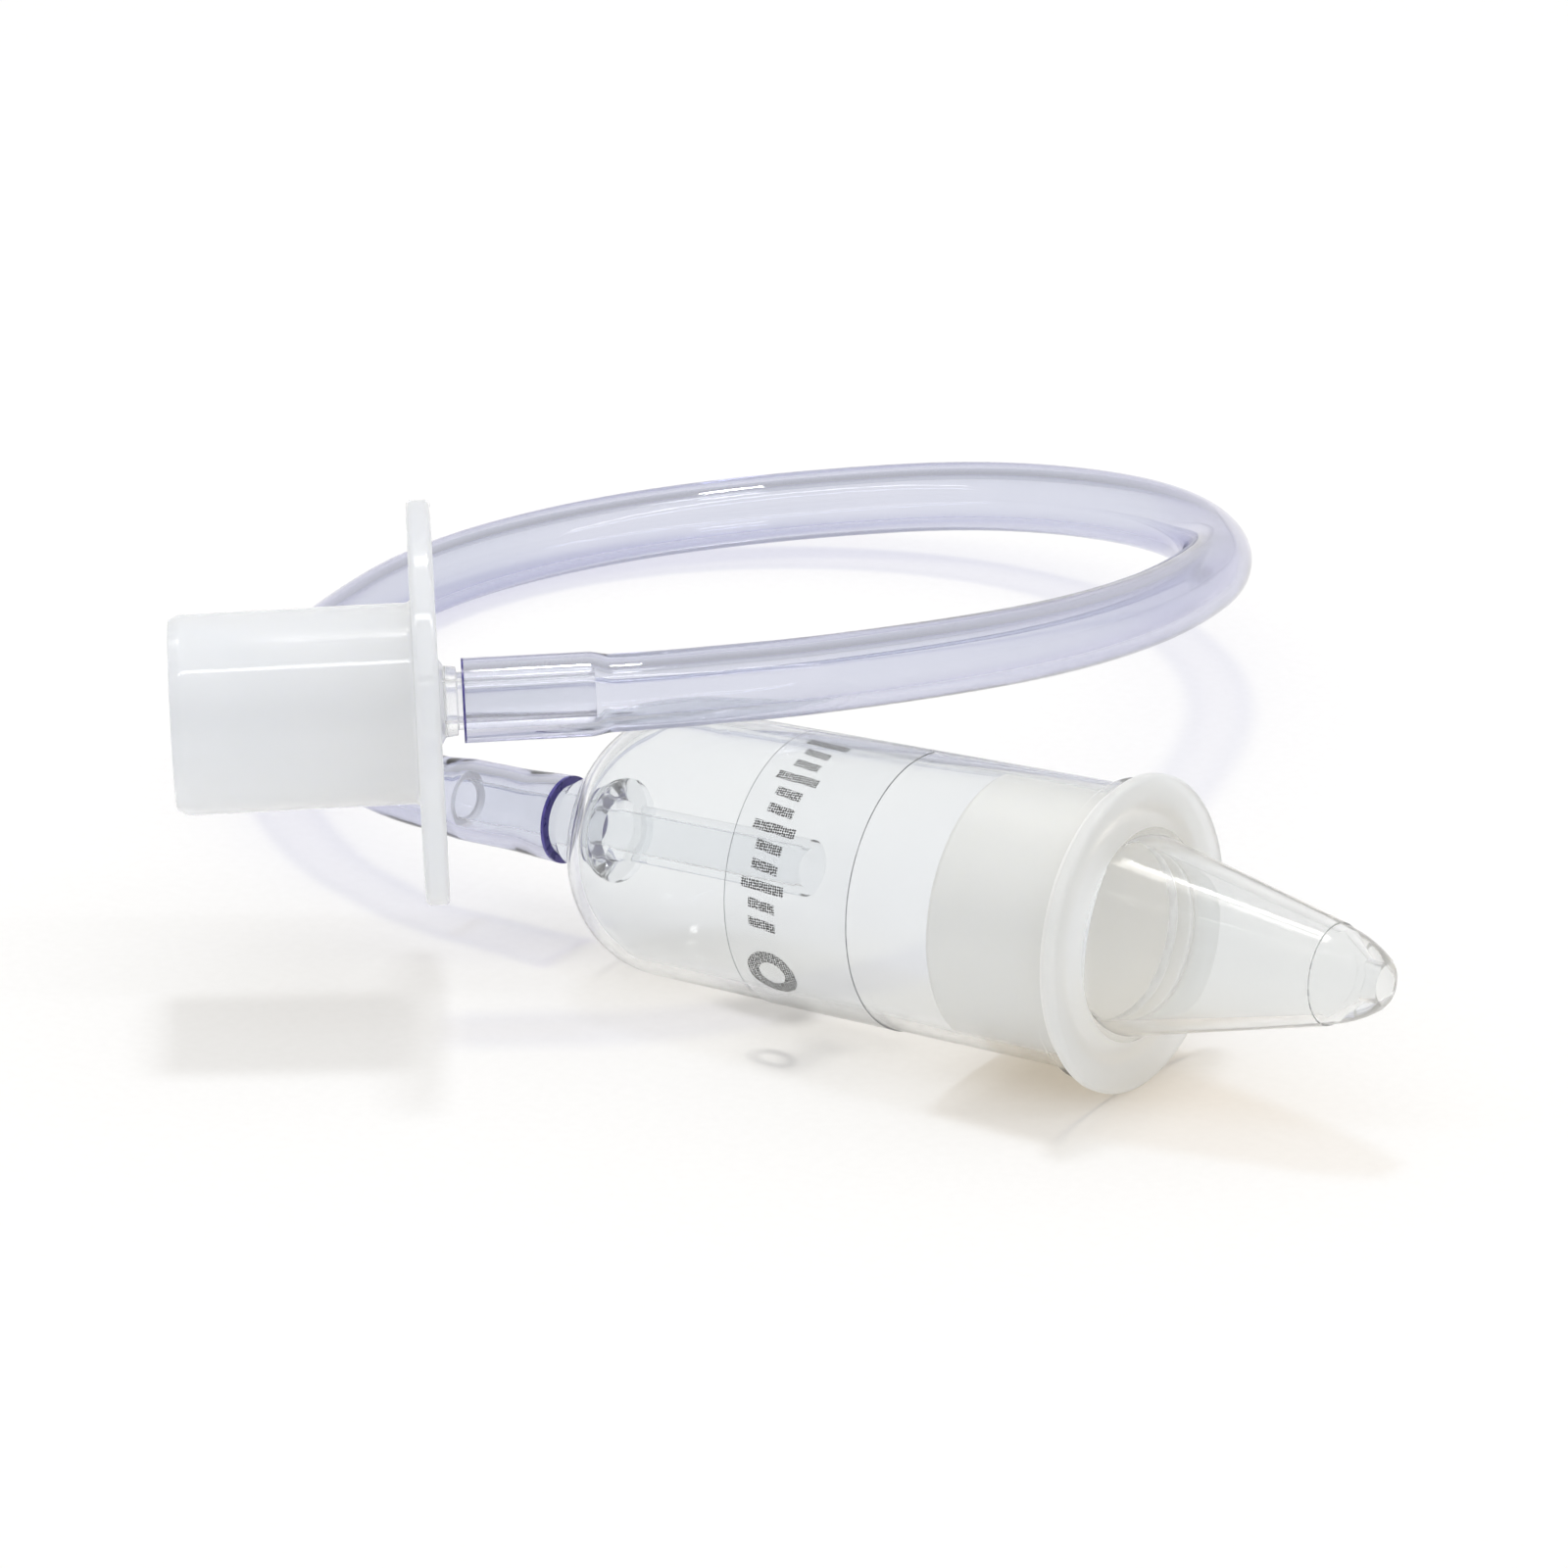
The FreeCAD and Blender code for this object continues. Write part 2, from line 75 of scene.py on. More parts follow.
# ------------------------------------------------------------------ the tube's route
# The ends are straight, over the spigots; the points between are NURBS controls.
STRAIGHT_END = 25.5
tube_start = GUARD + MOUTH_AXIS * TUBE_START
tube_end = SEAT + CHAMBER_AXIS * (CHAMBER_ZERO - 0.05)
ROUTE = [
    tube_start,
    tube_start + MOUTH_AXIS * STRAIGHT_END,
    Vector((-3.6, 34.3, 31.0)),
    Vector((-1.8, 59.5, 26.6)),
    Vector((-6.5, 88.1, 21.0)),
    Vector((-16.1, 115.9, 15.8)),
    Vector((-35.6, 133.9, 12.2)),
    Vector((-60.8, 137.0, 8.9)),
    Vector((-83.4, 127.5, 5.7)),
    Vector((-99.4, 110.2, 4.4)),
    Vector((-106.9, 87.6, 4.1)),
    Vector((-103.3, 63.2, 4.3)),
    Vector((-93.7, 41.2, 7.0)),
    Vector((-82.0, 28.0, 9.8)),
    tube_end - CHAMBER_AXIS * STRAIGHT_END,
    tube_end,
]


def route_points(points, per_span):
    """Points along the NURBS spline that has these control points, in metres."""
    curve = bpy.data.curves.new("route", "CURVE")
    curve.dimensions = "3D"
    curve.resolution_u = per_span
    spline = curve.splines.new("NURBS")
    spline.points.add(len(points) - 1)
    for control, point in zip(spline.points, points):
        control.co = (*(point * MM), 1.0)
    spline.order_u = 3
    spline.use_endpoint_u = True
    holder = bpy.data.objects.new("route", curve)
    bpy.context.scene.collection.objects.link(holder)
    line = bpy.data.meshes.new_from_object(holder)
    found = [vertex.co.copy() for vertex in line.vertices]
    bpy.data.objects.remove(holder)
    bpy.data.curves.remove(curve)
    bpy.data.meshes.remove(line)
    if (found[0] - points[0] * MM).length > (found[-1] - points[0] * MM).length:
        found.reverse()
    return found


# ------------------------------------------------------------------ mesh helpers
SHARP = math.radians(28)


def split_sharp_edges(mesh):
    """Smooth shading everywhere but across sharp corners."""
    build = bmesh.new()
    build.from_mesh(mesh)
    for face in build.faces:
        face.smooth = True
    for edge in build.edges:
        edge.smooth = len(edge.link_faces) == 2 and edge.calc_face_angle(0.0) < SHARP
    build.to_mesh(mesh)
    build.free()


def finish_mesh(name, mesh, matrix, materials, body, replaces=()):
    """Object from a mesh, smooth, in place and riding on its body."""
    mesh.transform(matrix)
    split_sharp_edges(mesh)
    piece = bpy.data.objects.new(name, mesh)
    bpy.context.scene.collection.objects.link(piece)
    for material in materials:
        mesh.materials.append(material)
    bpy.context.view_layer.update()
    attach(piece, body)
    if replaces:
        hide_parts(*replaces)
    return piece


def placement(origin, axis):
    """Matrix that puts local X along the axis, from an origin in millimetres."""
    across = Vector((0, 0, 1)).cross(axis).normalized()
    up = axis.cross(across)
    turn = Matrix((axis, across, up)).transposed().to_4x4()
    return Matrix.Translation(origin * MM) @ turn


def rounded(corners, steps=5, guard=0.06):
    """Closed (x, r, tag) outline from (x, r, round, tag) corners, each rounded as asked.

    A corner with no rounding stays sharp. The extra points beside each arc keep the
    smooth shading of the flat stretches flat.
    """
    outline = []
    count = len(corners)
    for index, (x, r, radius, tag) in enumerate(corners):
        here = Vector((x, r))
        before = Vector(corners[index - 1][:2]) - here
        after = Vector(corners[(index + 1) % count][:2]) - here
        if radius <= 0:
            outline.append((here.x, here.y, tag))
            continue
        way_in, way_out = before.normalized(), after.normalized()
        opening = way_in.angle(way_out)
        reach = radius / math.tan(opening / 2)
        reach = min(reach, 0.45 * before.length, 0.45 * after.length)
        radius = reach * math.tan(opening / 2)
        centre = here + (way_in + way_out).normalized() * (radius / math.sin(opening / 2))
        first, last = here + way_in * reach, here + way_out * reach
        outline.append((*(first + way_in * min(guard, 0.3 * reach)), tag))
        start, end = first - centre, last - centre
        sweep = start.angle_signed(end)
        for step in range(steps + 1):
            turned = start.copy()
            turned.rotate(Matrix.Rotation(-sweep * step / steps, 2))
            point = centre + turned
            outline.append((point.x, point.y, tag))
        outline.append((*(last + way_out * min(guard, 0.3 * reach)), tag))
    return outline


def arc(centre_x, centre_r, radius, start, end, steps, tag=0):
    """Corners along an arc, angles in degrees from +x towards +r."""
    points = []
    for step in range(steps + 1):
        angle = math.radians(start + (end - start) * step / steps)
        points.append((centre_x + radius * math.cos(angle),
                       centre_r + radius * math.sin(angle), 0.0, tag))
    return points


def lathe(name, outline, segments, start=0.0, sweep=360.0):
    """Mesh turned about X from a closed (x, r, tag) outline, tag giving the material."""
    mesh = bpy.data.meshes.new(name)
    build = bmesh.new()
    uv = build.loops.layers.uv.new("UVMap")
    closed = sweep >= 360.0
    count = segments if closed else segments + 1
    rings = []
    for number in range(count):
        angle = math.radians(start + sweep * number / segments)
        rings.append([build.verts.new((x * MM, r * MM * math.cos(angle), r * MM * math.sin(angle)))
                      for x, r, _ in outline])
    lengths = [0.0]
    size = len(outline)
    for index in range(size):
        here, following = outline[index], outline[(index + 1) % size]
        lengths.append(lengths[-1] + math.hypot(following[0] - here[0], following[1] - here[1]))
    for number in range(segments):
        this, other = rings[number], rings[(number + 1) % count]
        for index in range(size):
            following = (index + 1) % size
            face = build.faces.new((this[index], this[following], other[following], other[index]))
            face.material_index = outline[index][2]
            corners = ((number, index), (number, index + 1), (number + 1, index + 1),
                       (number + 1, index))
            for loop, (around, along) in zip(face.loops, corners):
                loop[uv].uv = (around / segments, lengths[along] * 0.01)
    if not closed:
        for edge in (rings[0][::-1], rings[-1]):
            build.faces.new(edge).material_index = 1
    bmesh.ops.recalc_face_normals(build, faces=build.faces)
    build.to_mesh(mesh)
    build.free()
    return mesh


def ring_frames(path):
    """Distance, point and two carried side directions for every point of a path."""
    frames = []
    tangent = (path[1] - path[0]).normalized()
    side = tangent.cross(Vector((0, 0, 1))).normalized()
    distance = 0.0
    for index, point in enumerate(path):
        before, after = path[max(index - 1, 0)], path[min(index + 1, len(path) - 1)]
        turned = (after - before).normalized()
        side.rotate(tangent.rotation_difference(turned))
        tangent = turned
        side = (side - tangent * side.dot(tangent)).normalized()
        if index:
            distance += (point - path[index - 1]).length
        frames.append((distance, point, side.copy(), tangent.cross(side)))
    return frames


# ------------------------------------------------------------------ materials
def new_material(name):
    """Material with its node tree, main shader and output."""
    material = bpy.data.materials.new(name)
    material.use_nodes = True
    tree = material.node_tree
    return material, tree, tree.nodes["Principled BSDF"], tree.nodes["Material Output"]


def node(tree, kind, **settings):
    """New node; each setting goes to the input of that name, or else to the property."""
    made = tree.nodes.new(kind)
    for key, value in settings.items():
        if key in made.inputs:
            made.inputs[key].default_value = value
        else:
            setattr(made, key, value)
    return made


def link(tree, source, target):
    tree.links.new(source, target)


def lamps_pass(tree, shader, output, tint):
    """Let light that falls on other pieces straight through, with this tint at each face."""
    path = node(tree, "ShaderNodeLightPath")
    clear = node(tree, "ShaderNodeBsdfTransparent")
    clear.inputs["Color"].default_value = (*tint, 1)
    shown = shader.outputs[0]
    for kind in ("Is Diffuse Ray", "Is Shadow Ray"):
        mix = node(tree, "ShaderNodeMixShader")
        link(tree, path.outputs[kind], mix.inputs[0])
        link(tree, shown, mix.inputs[1])
        link(tree, clear.outputs[0], mix.inputs[2])
        shown = mix.outputs[0]
    link(tree, shown, output.inputs["Surface"])


def noise_bump(tree, shader, scale, distance, strength, stretch=(1, 1, 1)):
    """Bump from noise; gives the noise itself, between 0 and 1, for other uses."""
    where = node(tree, "ShaderNodeTexCoord")
    mapping = node(tree, "ShaderNodeMapping")
    mapping.inputs["Scale"].default_value = stretch
    pattern = node(tree, "ShaderNodeTexNoise")
    pattern.inputs["Scale"].default_value = scale
    pattern.inputs["Detail"].default_value = 3.0
    bump = node(tree, "ShaderNodeBump")
    bump.inputs["Distance"].default_value = distance
    bump.inputs["Strength"].default_value = strength
    link(tree, where.outputs["Object"], mapping.inputs["Vector"])
    link(tree, mapping.outputs[0], pattern.inputs["Vector"])
    link(tree, pattern.outputs["Fac"], bump.inputs["Height"])
    link(tree, bump.outputs[0], shader.inputs["Normal"])
    return pattern.outputs["Fac"]


def ramp(tree, source, low, high, from_min=0.3, from_max=0.7):
    """The source's values spread between two numbers."""
    spread = node(tree, "ShaderNodeMapRange")
    spread.inputs["From Min"].default_value = from_min
    spread.inputs["From Max"].default_value = from_max
    spread.inputs["To Min"].default_value = low
    spread.inputs["To Max"].default_value = high
    link(tree, source, spread.inputs["Value"])
    return spread.outputs[0]


def tinted(tree, source, first, second, from_min=0.3, from_max=0.7):
    """A colour between two, chosen by the source."""
    mix = node(tree, "ShaderNodeMix", data_type="RGBA")
    mix.inputs["A"].default_value = (*first, 1)
    mix.inputs["B"].default_value = (*second, 1)
    link(tree, ramp(tree, source, 0.0, 1.0, from_min, from_max), mix.inputs["Factor"])
    return mix.outputs["Result"]


def plastic(name, first, second, transmission, rough, ior=1.49, shadow=(0.95, 0.95, 0.94),
            scale=60.0, distance=0.00005, strength=0.25, stretch=(1, 1, 1), subsurface=0.0,
            depth=None, gloss=0.5, edge=None):
    """Clear or milky moulded plastic: two near tints, uneven gloss and a faint ripple.

    shadow is what each face lets through to other pieces, depth the colour and density that
    tint it by its thickness, and edge the tint of faces seen at a slant, painted shade that
    darkens the outline.
    """
    material, tree, shader, output = new_material(name)
    shader.inputs["IOR"].default_value = ior
    shader.inputs["Specular IOR Level"].default_value = gloss
    shader.inputs["Transmission Weight"].default_value = transmission
    if subsurface:
        shader.inputs["Subsurface Weight"].default_value = subsurface
        shader.inputs["Subsurface Radius"].default_value = (1.0, 1.0, 0.9)
        shader.inputs["Subsurface Scale"].default_value = 0.004
    pattern = noise_bump(tree, shader, scale, distance, strength, stretch)
    colour = tinted(tree, pattern, first, second)
    # Painted shade: faces seen at a slant turn towards the edge tint, darkening the outline.
    if edge:
        slant = node(tree, "ShaderNodeLayerWeight", Blend=0.5)
        slant_shade = node(tree, "ShaderNodeMix", data_type="RGBA")
        link(tree, ramp(tree, slant.outputs["Facing"], 0.0, 1.0, 0.55, 0.95),
             slant_shade.inputs["Factor"])
        link(tree, colour, slant_shade.inputs["A"])
        slant_shade.inputs["B"].default_value = (*edge, 1)
        colour = slant_shade.outputs["Result"]
    link(tree, colour, shader.inputs["Base Color"])
    link(tree, ramp(tree, pattern, *rough), shader.inputs["Roughness"])
    if depth:
        inside = node(tree, "ShaderNodeVolumeAbsorption")
        inside.inputs["Color"].default_value = (*depth[0], 1)
        inside.inputs["Density"].default_value = depth[1]
        link(tree, inside.outputs[0], output.inputs["Volume"])
    lamps_pass(tree, shader, output, shadow)
    return material


chamber_plastic = plastic("chamber_plastic", (0.926, 0.94, 0.948), (0.938, 0.951, 0.958), 0.975,
                          (0.02, 0.07), ior=1.27, scale=90.0, stretch=(0.3, 1, 1), gloss=0.8,
                          shadow=(0.965, 0.96, 0.95))
pipe_plastic = plastic("pipe_plastic", (0.955, 0.965, 0.975), (0.965, 0.975, 0.985), 0.96,
                       (0.06, 0.12), ior=1.05, gloss=0.8, shadow=(0.99, 0.99, 0.99))
plug_plastic = plastic("plug_plastic", (0.92, 0.942, 0.948), (0.938, 0.957, 0.962), 0.3,
                       (0.34, 0.5), scale=220.0, strength=0.35, shadow=(0.83, 0.80, 0.745),
                       subsurface=0.4)
flange_plastic = plastic("flange_plastic", (0.935, 0.958, 0.968), (0.95, 0.966, 0.975), 0.52,
                         (0.34, 0.44), ior=1.25, scale=220.0, strength=0.08,
                         shadow=(0.85, 0.84, 0.815), gloss=1.0)
nose_plastic = plastic("nose_plastic", (0.90, 0.918, 0.928), (0.918, 0.933, 0.94), 0.84,
                       (0.05, 0.11), ior=1.15, scale=110.0, shadow=(0.95, 0.925, 0.89),
                       gloss=1.0)
mouth_plastic = plastic("mouth_plastic", (0.88, 0.91, 0.962), (0.90, 0.925, 0.972), 0.35,
                        (0.05, 0.12), ior=1.42, scale=120.0, shadow=(0.83, 0.82, 0.80),
                        subsurface=0.4, stretch=(0.25, 1, 1), gloss=0.8)
# Painted shade: the dark grey line where the nozzle's tip begins.
step_line_shade = plastic("step_line_shade", (0.42, 0.44, 0.45), (0.56, 0.58, 0.59), 0.4, (0.2, 0.4),
                       ior=1.15, scale=900.0)
spigot_plastic = plastic("spigot_plastic", (0.965, 0.975, 0.985), (0.975, 0.98, 0.99), 0.93,
                         (0.12, 0.2), ior=1.15, scale=120.0, shadow=(0.97, 0.965, 0.96))
film_plastic = plastic("film_plastic", (0.965, 0.97, 0.975), (0.98, 0.985, 0.99), 0.98,
                       (0.04, 0.1), ior=1.2, scale=200.0, strength=0.12,
                       shadow=(0.98, 0.98, 0.98))
# Painted shade: the dark grey of the label film's cut edges.
film_edge_shade = plastic("film_edge_shade", (0.22, 0.23, 0.25), (0.40, 0.41, 0.43), 0.15, (0.3, 0.5),
                    ior=1.2, scale=900.0)
# The edge tint paints shade, dark violet, along the tube's outlines.
vinyl = plastic("tube_vinyl", (0.942, 0.952, 0.97), (0.96, 0.964, 0.98), 1.0, (0.02, 0.06),
                ior=1.45, distance=0.0001, strength=0.2, shadow=(0.99, 0.987, 0.995),
                depth=((0.43, 0.46, 0.68), 135.0), edge=(0.70, 0.67, 0.88))
# Painted shade: the dark violet of the tube's cut ends.
vinyl_cut_shade = plastic("tube_cut_shade", (0.03, 0.025, 0.20), (0.08, 0.06, 0.34), 0.2, (0.2, 0.4),
                    ior=1.45, scale=900.0, shadow=(0.7, 0.68, 0.9))


def halftone_ink():
    """Grey ink in fine dots, bare film showing between them."""
    material, tree, shader, output = new_material("halftone_ink")
    where = node(tree, "ShaderNodeUVMap")
    dots = node(tree, "ShaderNodeTexVoronoi")
    dots.inputs["Scale"].default_value = 1.0
    dots.inputs["Randomness"].default_value = 0.25
    link(tree, where.outputs["UV"], dots.inputs["Vector"])
    shader.inputs["Roughness"].default_value = 0.8
    shader.inputs["Specular IOR Level"].default_value = 0.1
    link(tree, tinted(tree, dots.outputs["Distance"], (0.05, 0.05, 0.05), (0.13, 0.13, 0.126),
                      0.0, 0.6), shader.inputs["Base Color"])
    link(tree, ramp(tree, dots.outputs["Distance"], 1.0, 0.0, 0.42, 0.50),
         shader.inputs["Alpha"])
    lamps_pass(tree, shader, output, (0.97, 0.97, 0.97))
    return material


ink = halftone_ink()

# ------------------------------------------------------------------ the tube
# Radii, in mm, of the free tube and of its ends, which the spigots stretch.
FREE_OUTER, FREE_INNER = 4.0, 2.5
STRETCHED_OUTER, STRETCHED_INNER = 4.325, 3.0
FLARE_OUTER, FLARE_INNER = 0.295, 0.43
# How far in the mouthpiece's spigot ends, and the chamber's.
START_GRIP, END_GRIP = 12.9, 12.4
NEAR_END = 20.0
# Axial places along the tube, in mm from each end, where its radius changes.
START_STATIONS = (0.22, 0.6, 12.9, 13.2, 13.5, 13.8, 14.1, 14.4, 14.7, 15.0, 15.3)
END_STATIONS = (16.4, 15.6, 14.8, 14.0, 13.2, 12.4, 7.0, 5.0, 3.0, 1.2, 0.35)
# The ends are held straight this far, and eased into the route over as much again.
STRAIGHT_REACH = 14.0
# Widths, in metres, of the painted shade, dark violet, on the outside next to either cut end.
CUT_SHADE_LINE, CUT_SHADE_BAND = 0.22 * MM, 0.35 * MM


def smooth(value):
    """Eased step from 0 to 1."""
    value = min(max(value, 0.0), 1.0)
    return value * value * (3 - 2 * value)


def tube_radii(distance, length):
    """Outer and inner radius, in mm, at a distance from the mouthpiece end.

    Past a spigot the tube eases back to its free size. The chamber end also flares.
    """
    left = length - distance
    outer_drop, inner_drop = STRETCHED_OUTER - FREE_OUTER, STRETCHED_INNER - FREE_INNER
    if distance < NEAR_END:
        return (STRETCHED_OUTER - outer_drop * smooth((distance - START_GRIP) / 2.2),
                STRETCHED_INNER - inner_drop * smooth((distance - START_GRIP) / 2.4))
    if left < NEAR_END:
        ease = smooth((left - END_GRIP) / 4.2)
        outer_flare, inner_flare = 1 - smooth(left / 7.0), 1 - smooth((left - 1.5) / 5.5)
        return (STRETCHED_OUTER - outer_drop * ease + FLARE_OUTER * outer_flare,
                STRETCHED_INNER - inner_drop * ease + FLARE_INNER * inner_flare)
    return FREE_OUTER, FREE_INNER


def path_length(path):
    return sum((b - a).length for a, b in zip(path, path[1:]))


def straightened(path):
    """The path with its two gripped ends held on the spigots' own axes."""
    total = path_length(path)
    result = []
    distance = 0.0
    for index, point in enumerate(path):
        if index:
            distance += (point - path[index - 1]).length
        for end, axis, away in ((path[0], MOUTH_AXIS, distance),
                                (path[-1], CHAMBER_AXIS, total - distance)):
            held = 1 - smooth((away / MM - STRAIGHT_REACH) / STRAIGHT_REACH)
            if held > 0:
                point = point.lerp(end + axis * (point - end).dot(axis), held)
        result.append(point)
    return result


def tube_mesh(path, around=56):
    """Hollow tube with stretched ends; the dark violet of the light caught by its cut ends is
    painted shade, on the end faces and a thin outside band.
    """
    frames = ring_frames(with_stations(straightened(path)))
    length = frames[-1][0]
    mesh = bpy.data.meshes.new("vinyl_tube")
    build = bmesh.new()
    uv = build.loops.layers.uv.new("UVMap")
    skins = []
    for which in range(2):
        rings = []
        for distance, point, side, up in frames:
            radius = tube_radii(distance / MM, length / MM)[which] * MM
            ring = []
            for number in range(around):
                angle = 2 * math.pi * number / around
                offset = side * math.cos(angle) + up * math.sin(angle)
                ring.append(build.verts.new(point + offset * radius))
            rings.append(ring)
        skins.append(rings)
        for index in range(len(rings) - 1):
            for number in range(around):
                following = (number + 1) % around
                corners = (rings[index][number], rings[index][following],
                           rings[index + 1][following], rings[index + 1][number])
                face = build.faces.new(corners if which == 0 else corners[::-1])
                middle = (frames[index][0] + frames[index + 1][0]) / 2
                # Outside faces within the cut widths get the painted shade.
                in_cut_shade = middle < CUT_SHADE_LINE or length - middle < CUT_SHADE_BAND
                face.material_index = int(which == 0 and in_cut_shade)
                places = ((number, index), (number + 1, index), (number + 1, index + 1),
                          (number, index + 1))
                if which:
                    places = places[::-1]
                for loop, (turn, step) in zip(face.loops, places):
                    loop[uv].uv = (turn / around, frames[step][0] * 10)
    outer, inner = skins
    for end in (0, -1):
        for number in range(around):
            following = (number + 1) % around
            face = build.faces.new((outer[end][number], outer[end][following],
                                    inner[end][following], inner[end][number]))
            # The end faces take the painted shade too.
            face.material_index = 1
    bmesh.ops.recalc_face_normals(build, faces=build.faces)
    build.to_mesh(mesh)
    build.free()
    return mesh


def with_stations(path):
    """The path with more points near its ends, where the tube changes radius in a step."""
    total = path_length(path) / MM
    wanted = list(START_STATIONS) + [total - left for left in END_STATIONS]
    result = [path[0]]
    distance = 0.0
    for first, second in zip(path, path[1:]):
        span = (second - first).length / MM
        inside = [value for value in wanted
                  if distance + 0.02 < value < distance + span - 0.02]
        result += [first.lerp(second, (value - distance) / span) for value in inside]
        result.append(second)
        distance += span
    return result


tube_path = route_points(ROUTE, 24)
tube = finish_mesh("vinyl_tube", tube_mesh(tube_path), Matrix.Identity(4),
                   (vinyl, vinyl_cut_shade), "chamber", ("hose",))

# ------------------------------------------------------------------ the chamber
DOME_END, DOME_R, DOME_CENTRE = 14.75, 10.0, 3.96
WALL = 1.2
NECK_R, NECK_FILLET = 4.65, 1.5
fillet_centre_r = NECK_R + NECK_FILLET
fillet_x = DOME_END - math.sqrt((DOME_R + NECK_FILLET) ** 2
                                - (fillet_centre_r - DOME_CENTRE) ** 2)
fillet_angle = math.degrees(math.atan2(fillet_centre_r - DOME_CENTRE, DOME_END - fillet_x))
seat_x = DOME_END - math.sqrt((DOME_R - WALL) ** 2 - (5.6 - DOME_CENTRE) ** 2)
seat_angle = math.degrees(math.atan2(5.6 - DOME_CENTRE, DOME_END - seat_x))

# Corners of the outline: x, radius, rounding, and the material of the face that follows.
# 0 is the clear wall, 1 the neck's bore, 2 the rim's end and 3 the pipe's seat.
chamber_corners = [(0.0, 3.42, 0.0, 0), (0.0, 3.75, 0.1, 0), (1.0, NECK_R - 0.35, 0.5, 0),
                   (1.6, NECK_R, 0.5, 0)]
chamber_corners += arc(fillet_x, fillet_centre_r, NECK_FILLET, 270, 360 - fillet_angle, 8)
chamber_corners += arc(DOME_END, DOME_CENTRE, DOME_R, 180 - fillet_angle, 90, 28)[1:]
chamber_corners += [(66.3, 14.58, 0.25, 0), (66.3, 15.4, 0.5, 0), (68.3, 15.4, 0.5, 2),
                    (68.3, 13.4, 0.2, 0), (53.4, 13.4, 0.0, 0), (45.0, 13.12, 0.0, 0)]
chamber_corners += arc(DOME_END, DOME_CENTRE, DOME_R - WALL, 90, 180 - seat_angle, 24)
chamber_corners[-1] = (*chamber_corners[-1][:3], 3)
chamber_corners += [(seat_x, 3.42, 0.0, 1)]
chamber_place = placement(SEAT + CHAMBER_AXIS * CHAMBER_ZERO, CHAMBER_AXIS)
finish_mesh("chamber_shell", lathe("chamber_shell", rounded(chamber_corners), 192),
            chamber_place, (chamber_plastic, pipe_plastic, plug_plastic, nose_plastic),
            "chamber", ("chamber",))

# The pipe's collar sits on the seat. 1 is the spigot's end, which catches the light; as painted
# light it is given the milky plug material so that it shows pale.
pipe_collar = 13.0 + seat_x + 0.02
pipe_corners = [
    (0.0, 2.0, 0.1, 1), (0.0, 2.62, 0.1, 1), (0.6, 2.95, 0.1, 0), (6.0, 2.95, 0.0, 0),
    (11.5, 3.38, 0.0, 0), (pipe_collar, 3.38, 0.0, 0), (pipe_collar, 5.5, 0.2, 0),
    (pipe_collar + 1.2, 5.5, 0.3, 0), (pipe_collar + 1.2, 2.95, 0.4, 0),
    (43.35, 2.95, 0.12, 0), (43.35, 2.0, 0.12, 0)]
finish_mesh("suction_pipe_moulding", lathe("suction_pipe", rounded(pipe_corners), 96),
            placement(SEAT + CHAMBER_AXIS * PIPE_ZERO, CHAMBER_AXIS),
            (pipe_plastic, plug_plastic), "chamber", ("suction_pipe",))

# ------------------------------------------------------------------ the label
LABEL_WIDTH = 14.9
SLOPE = (14.58 - 13.96) / (66.3 - DOME_END)
LABEL_BORE = 13.96 + SLOPE * (29.25 - DOME_END) + 0.01
TOP_ROLL, LABEL_WRAP = 80.0, 176.0
# 0 is the film and 1 its cut edges, painted dark grey as fine lines of painted shade.
film_outline = []
for x, r, tag in ((0.0, 0.0, 1), (0.0, 0.1, 1), (0.09, 0.1, 0), (LABEL_WIDTH - 0.07, 0.1, 1),
                  (LABEL_WIDTH, 0.1, 1), (LABEL_WIDTH, 0.0, 0)):
    film_outline.append((x, LABEL_BORE + SLOPE * x + r, tag))
label_place = placement(SEAT + CHAMBER_AXIS * LABEL_ZERO, CHAMBER_AXIS)
finish_mesh("label_sheet", lathe("label_sheet", film_outline, 120, TOP_ROLL, LABEL_WRAP),
            label_place, (film_plastic, film_edge_shade), "chamber", ("label_film",))

# The print: plain scale bars and a ring round the barrel, in halftone grey.
PRINT_START, PRINT_TOP = 2.0, 91.5
PRINT_LIFT, PRINT_END, STRIP = 0.13, 34.0, 0.5
BARS, BAR_STEP, LONG_BAR, SHORT_BAR = 12, 2.0, 5.2, 3.2
RING_PLACE, RING_RADII = 28.9, (2.9, 1.5)
DOT_PITCH = 0.27


def disc(along, around, radius, steps=36):
    """Round outline on the film."""
    return [(along + radius * math.cos(2 * math.pi * step / steps),
             around + radius * math.sin(2 * math.pi * step / steps)) for step in range(steps)]


def bar(along, around, long, thick, lean=0.0):
    """Slim bar across the print, leaning round the barrel by this much."""
    left, right = along - long / 2, along + long / 2
    return [(left, around - thick / 2 - lean), (right, around - thick / 2 + lean),
            (right, around + thick / 2 + lean), (left, around + thick / 2 - lean)]


def print_outlines():
    """Twelve bars, every third one long, and a ring after them."""
    middle = PRINT_START + LONG_BAR / 2
    outlines = []
    for number in range(BARS):
        long = LONG_BAR if number % 3 == 0 else SHORT_BAR
        outlines.append(bar(middle, 0.9 + BAR_STEP * number, long, 1.05, 0.25))
    for radius in RING_RADII:
        outlines.append(disc(middle, RING_PLACE, radius))
    return outlines


